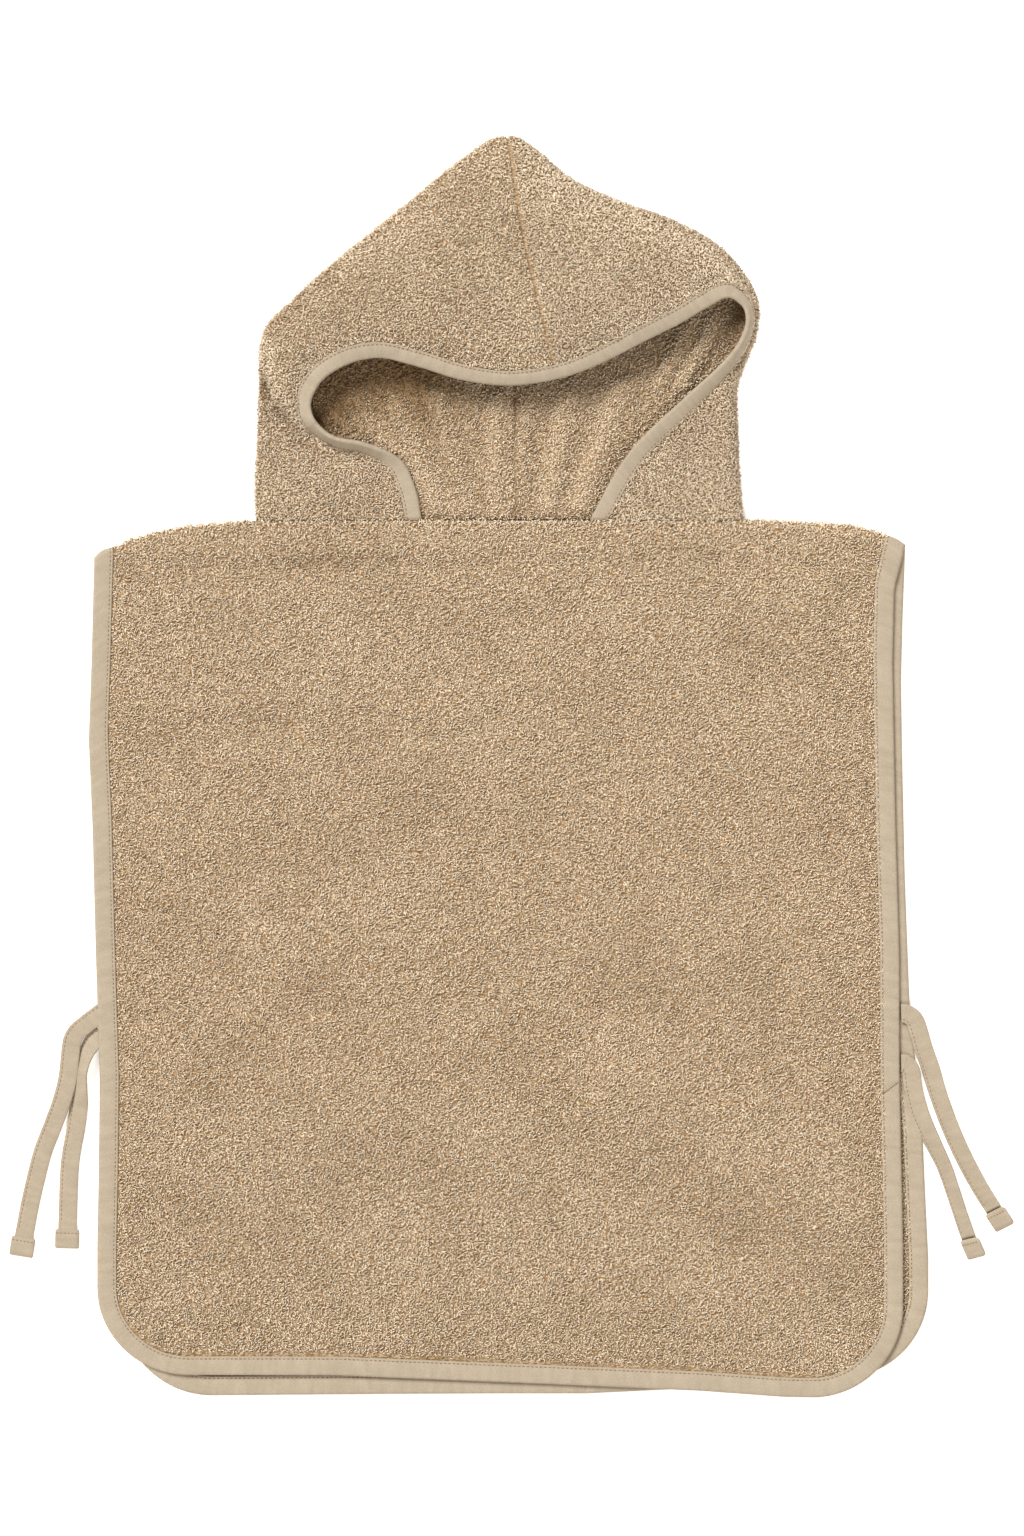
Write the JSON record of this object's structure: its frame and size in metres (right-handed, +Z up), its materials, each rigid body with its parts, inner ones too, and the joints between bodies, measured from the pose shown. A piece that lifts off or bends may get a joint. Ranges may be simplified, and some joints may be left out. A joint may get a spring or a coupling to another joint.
{
  "type": "hooded bath poncho",
  "caption": "Child's hooded bath poncho in beige terry with woven binding and side ties, laid flat on its back with its hood propped open.",
  "frame": {"origin": "middle of the base of the whole garment's box, on the surface that it lies on", "axes": "+Y from the hem towards the hood's tip, +X to the right as seen from above, +Z up out of the surface"},
  "size_m": [0.6934, 0.8678, 0.0318],
  "materials": {
    "terry": "beige looped cotton terry towelling",
    "tape": "plain woven cotton tape, slightly lighter and greyer beige"
  },
  "bodies": {
    "root": {"back_panel": "terry", "front_panel": "terry", "hood_left": "terry", "hood_right": "terry", "back_binding": "tape", "front_binding": "tape", "hood_binding": "tape", "tie_front_left": "tape", "tie_back_left": "tape", "tie_front_right": "tape", "tie_back_right": "tape"}
  },
  "joints": []
}
